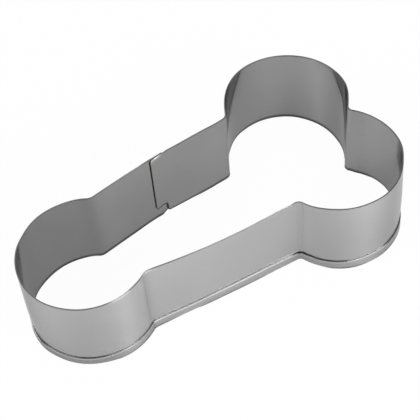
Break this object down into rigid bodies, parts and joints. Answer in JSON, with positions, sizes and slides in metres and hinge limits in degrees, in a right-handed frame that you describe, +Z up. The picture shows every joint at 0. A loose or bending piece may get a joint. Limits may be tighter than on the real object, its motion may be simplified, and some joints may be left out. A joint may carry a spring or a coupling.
{
  "type": "cookie cutter",
  "caption": "Open cookie cutter bent from thin steel strip, with a rounded end, a slightly flared shank, paired round lobes and a folded stiffening hem.",
  "frame": {"origin": "middle of the footprint, on the surface that the hem stands on", "axes": "+X from the small round end to the paired lobes, +Y to the side with the lapped seam, +Z up from the hem to the cutting edge"},
  "size_m": [0.1017, 0.0576, 0.025],
  "materials": {
    "strip_steel": "satin rolled strip with faint lengthwise grain and plain sheared edges",
    "weld_steel": "dull spot weld metal, hidden between the lapped ends"
  },
  "bodies": {
    "root": {"band": "strip_steel", "seam_weld_lower": "weld_steel", "seam_weld_middle": "weld_steel", "seam_weld_upper": "weld_steel"}
  },
  "joints": []
}
